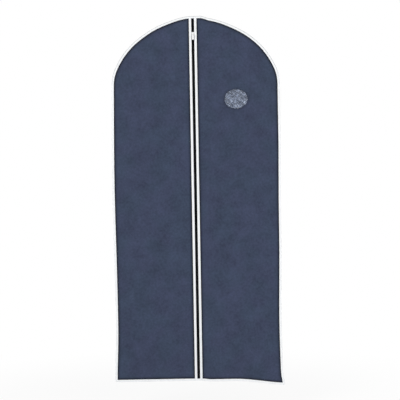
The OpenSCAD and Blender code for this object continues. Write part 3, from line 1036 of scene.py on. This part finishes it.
def stitchRow(name, spots):
    # spots are rows of x, depth, z and the direction of sewing in x and z
    bpy.ops.object.select_all(action="DESELECT")
    bpy.ops.mesh.primitive_uv_sphere_add(segments=stitch["segments"], ring_count=stitch["rings"], radius=1)
    bead = bpy.context.object
    bead.name = bead.data.name = name
    finishWith(
        bead, "ARRAY", count=len(spots), use_relative_offset=False, use_constant_offset=True,
        constant_offset_displace=(stitch["apart"], 0, 0),
    )
    points = coordinates(bead)
    index = np.rint(points[:, 0] / stitch["apart"]).astype(int)
    x, depth, z, dx, dz = spots[index].T
    run = (points[:, 0] - index * stitch["apart"]) * stitch["length"] / 2
    wide = points[:, 1] * stitch["thick"] / 2
    high = points[:, 2] * stitch["thick"] / 2 / stitch["flatness"]
    moved = place(x + run * dx - wide * dz, depth + high, z + run * dz + wide * dx)
    setCoordinates(bead, np.column_stack(moved))
    softEdges(bead, stitch["smooth"])
    return bead


def spotsAlong(path, depthAt):
    x, z = insetOn(path, np.arange(len(path)), np.full(len(path), stitch["inset"]))
    run = np.concatenate([[0], np.cumsum(np.hypot(np.diff(x), np.diff(z)))])
    keep = np.concatenate([[True], np.diff(run) > stitch["least"]])

    def pointAt(s):
        return np.interp(s, run[keep], x[keep]), np.interp(s, run[keep], z[keep])

    s = np.arange(stitch["pitch"] / 2, run[-1], stitch["pitch"])
    px, pz = pointAt(s)
    ax, az = pointAt(s + stitch["look"])
    bx, bz = pointAt(s - stitch["look"])
    size = np.maximum(np.hypot(ax - bx, az - bz), stitch["least"])
    return np.column_stack([px, depthAt(px, pz), pz, (ax - bx) / size, (az - bz) / size])


def faceOf(depthAt, sign):
    # the outer face of a tape's front or back leg
    middle = sign * sum(tapeGrid["edgeFold"]) / 2
    return lambda x, z: depthAt(x, z, np.full(len(x), middle)) + sign * cut["tapeThick"] / 2


edgeSpots = np.concatenate([spotsAlong(edgePath, faceOf(edgeDepth, sign)) for sign in (1, -1)])
frontSeam = crownPath(hookEnd * hookTape["frontSeam"], hookTape["frontSteps"])
backSeam = crownPath(hookEnd * hookTape["backSeam"], hookTape["backSteps"])
frontSpots = spotsAlong(frontSeam, faceOf(hookFrontDepth, 1))
backSpots = spotsAlong(backSeam, faceOf(hookBackDepth, -1))
backSpots[:, 2] += backLift(backSpots[:, 0], backSpots[:, 2])
hookSpots = np.concatenate([frontSpots, backSpots])
seams = [("edgeStitches", edgeSpots, "white_thread", 0), ("hookStitches", hookSpots, "white_thread", 0)]
for side, label in sides:
    z = np.arange(-stitch["zipEnd"], stitch["zipEnd"] - cut["height"], -stitch["pitch"])
    front = np.full(len(z), cut["panelThick"] + cut["tapeThick"])
    x = np.full(len(z), side * stitch["zipLine"])
    zipSpots = np.column_stack([x, front, z, 0 * z, 0 * z - 1])
    seams.append(("zipStitches" + label, zipSpots, "white_thread", side))
ringWide, ringHigh = window["wide"] + stitch["ring"], window["high"] + stitch["ring"]
angle = np.arange(0, 2 * math.pi, stitch["pitch"] / ringWide)
x, z = window["x"] + ringWide * np.cos(angle), window["z"] + ringHigh * np.sin(angle)
front = frontDepth(x, z) + cut["panelThick"]
ringSpots = np.column_stack([x, front, z, -np.sin(angle), np.cos(angle)])
seams.append(("windowStitches", ringSpots, "navy_thread", 1))
for name, spots, thread, side in seams:
    piece = stitchRow(name, spots)
    dress(piece, thread)
    if side:
        hangOnFlap(piece, side)
    else:
        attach(piece, "bag")
print("bag: stitches sewn")

# Studio: pale floor, white surround and soft lamps. A lamp has its name, place, target, size and power
studio = {
    "floor": -1.425, "reach": 2.6, "edges": 64, "paper": (0.93, 0.93, 0.93, 1), "white": (1, 1, 1, 1),
    "nearGlow": 0.86, "glowFrom": 0.5, "glowTo": 1.6, "fill": 0.42,
}
lamps = (
    ("key", (-1.7, -2.6, 0.9), (0, 0, -0.6), 1.6, 46),
    ("fill", (2.0, -2.4, -0.2), (0, 0, -0.7), 1.8, 25.5),
    ("rear", (2.1, 2.0, 0.7), (0, 0, -0.65), 1.4, 47),
)


def shownRays(wire):
    # 1 for what the camera sees, straight or in gloss and film
    shown = 0.0
    for kind in ("Camera", "Glossy", "Transmission"):
        ray = wire.add("ShaderNodeLightPath", {}, {}, "Is %s Ray" % kind)
        shown = wire.maths("MAXIMUM", ray, shown)
    return shown


def studioFloor():
    bpy.ops.object.select_all(action="DESELECT")
    bpy.ops.mesh.primitive_circle_add(
        vertices=studio["edges"], radius=studio["reach"], fill_type="NGON", location=(0, 0, studio["floor"]),
    )
    floor = bpy.context.object
    floor.name = "floor"
    material, wire = newMaterial("Studio floor")
    away = wire.add("ShaderNodeVectorMath", {"operation": "LENGTH"}, {0: wire.position("Object")}, 1)
    paper = wire.add("ShaderNodeBsdfDiffuse", {}, {"Color": studio["paper"]})
    glow = wire.add("ShaderNodeEmission", {}, {"Color": studio["white"], "Strength": 1.0})
    # the shadow under the bag shows a little, and the floor fades to white further out
    fading = away.band(studio["glowFrom"], studio["glowTo"])
    amount = shownRays(wire) * (studio["nearGlow"] + (1 - studio["nearGlow"]) * fading)
    surface = wire.add("ShaderNodeMixShader", {}, {0: amount, 1: paper, 2: glow})
    wire.add("ShaderNodeOutputMaterial", {}, {"Surface": surface})
    floor.data.materials.append(material)


def surround():
    world = bpy.data.worlds.new("Studio")
    scene.world = world
    world.use_nodes = True
    world.node_tree.nodes.clear()
    wire = Wire(world.node_tree)
    fill = wire.add("ShaderNodeBackground", {}, {"Color": studio["white"], "Strength": studio["fill"]})
    white = wire.add("ShaderNodeBackground", {}, {"Color": studio["white"], "Strength": 1.0})
    mixed = wire.add("ShaderNodeMixShader", {}, {0: shownRays(wire), 1: fill, 2: white})
    wire.add("ShaderNodeOutputWorld", {}, {"Surface": mixed})


def lamp(name, spot, target, size, power):
    bpy.ops.object.select_all(action="DESELECT")
    bpy.ops.object.light_add(type="AREA", location=spot)
    light = bpy.context.object
    light.name = name
    light.data.size = size
    light.data.energy = power
    aim = np.array(target) - np.array(spot)
    flat = math.hypot(aim[0], aim[1])
    light.rotation_euler = (math.atan2(flat, -aim[2]), 0, math.atan2(-aim[0], aim[1]))


studioFloor()
surround()
for row in lamps:
    lamp(*row)
print("bag: studio lit")
